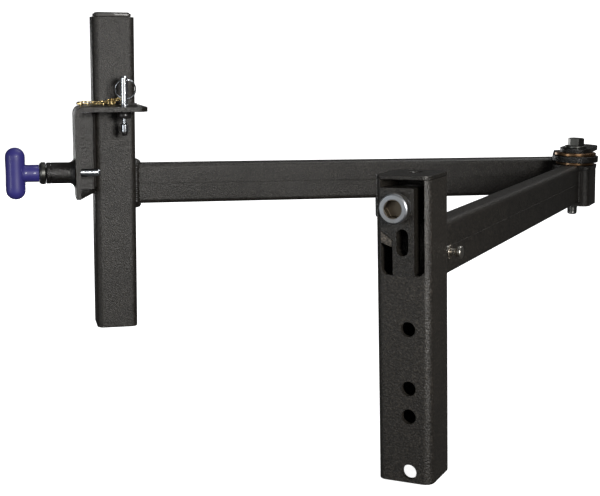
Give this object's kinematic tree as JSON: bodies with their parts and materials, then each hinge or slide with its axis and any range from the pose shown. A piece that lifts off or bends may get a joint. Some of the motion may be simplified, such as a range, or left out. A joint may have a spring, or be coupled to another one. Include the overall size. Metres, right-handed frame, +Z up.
{
  "type": "hitch cargo carrier",
  "caption": "Swing-away arm of a hitch carrier: square post, base arm, tilted hinge, swinging arm with mast, sprung latch plunger, and a lock pin on a chain.",
  "frame": {"origin": "on the post's vehicle-side face, on its middle line, level with the middle of its pin holes", "axes": "+Z up the post, +X along the base arm towards the hinge, +Y away from the vehicle"},
  "size_m": [0.7213, 0.597, 0.4339],
  "materials": {
    "powder": "fine textured black-brown powder coat",
    "zinc": "bright zinc plating",
    "bronze": "oiled bearing bronze",
    "brass": "yellow brass plating",
    "grip": "smooth dark blue-violet moulding",
    "black": "smooth black",
    "cap": "grey moulding"
  },
  "bodies": {
    "base": {"hitch_post": "powder", "post_top_plate": "powder", "striker_block": "powder", "striker_ramp": "powder", "clamp_bolt": "zinc", "clamp_washer": "zinc", "clamp_nut_block": "powder", "base_arm": "powder", "lanyard_stud": "zinc", "lanyard_stud_washer": "zinc", "hinge_knuckle": "powder", "knuckle_top_plate": "powder", "knuckle_bottom_plate": "powder", "bearing_sleeve": "bronze", "lower_thrust_washer": "bronze", "keeper_plate": "powder", "pivot_bolt": "zinc", "pivot_washer": "zinc", "pivot_nut": "zinc"},
    "swing": {"swing_arm": "powder", "swing_arm_end_cap": "black", "hinge_plate": "powder", "pivot_bushing": "bronze", "upper_thrust_washer": "bronze", "mast": "powder", "mast_cap": "cap", "latch_bracket": "powder", "bracket_web": "powder", "bracket_shelf": "powder", "plunger_housing": "black", "housing_gland": "black", "plunger_spring": "zinc", "lock_pin_chain": "brass", "chain_anchor": "brass"},
    "plunger": {"plunger_pin": "zinc", "spring_seat": "zinc", "plunger_collar": "zinc", "handle_stem": "zinc", "t_handle": "grip"},
    "lock_pin": {"lock_pin": "zinc", "lock_pin_tip": "black"},
    "ring": {"lock_ring": "zinc"}
  },
  "joints": [
    {"name": "swing_hinge", "type": "hinge", "parent": "base", "child": "swing", "pos_m": [0.61, 0.0254, 0.126], "axis": [0, 0.0436, -0.999], "range_deg": [-49.08, 70.92]},
    {"name": "plunger_slide", "type": "slide", "parent": "swing", "child": "plunger", "axis": [-0.655, 0.7549, 0.033], "range_m": [0, 0.012], "stiffness_N_per_m": 800, "springref_m": -0.016, "deforming": ["plunger_spring"]},
    {"name": "lock_pin_lift", "type": "slide", "parent": "swing", "child": "lock_pin", "axis": [0, -0.0436, 0.999], "range_m": [0, 0.045], "deforming": ["lock_pin_chain"]},
    {"name": "ring_swing", "type": "hinge", "parent": "lock_pin", "child": "ring", "pos_m": [0.21835, 0.47552, 0.27978], "axis": [0.655, -0.7549, -0.033], "range_deg": [0, 326]}
  ]
}
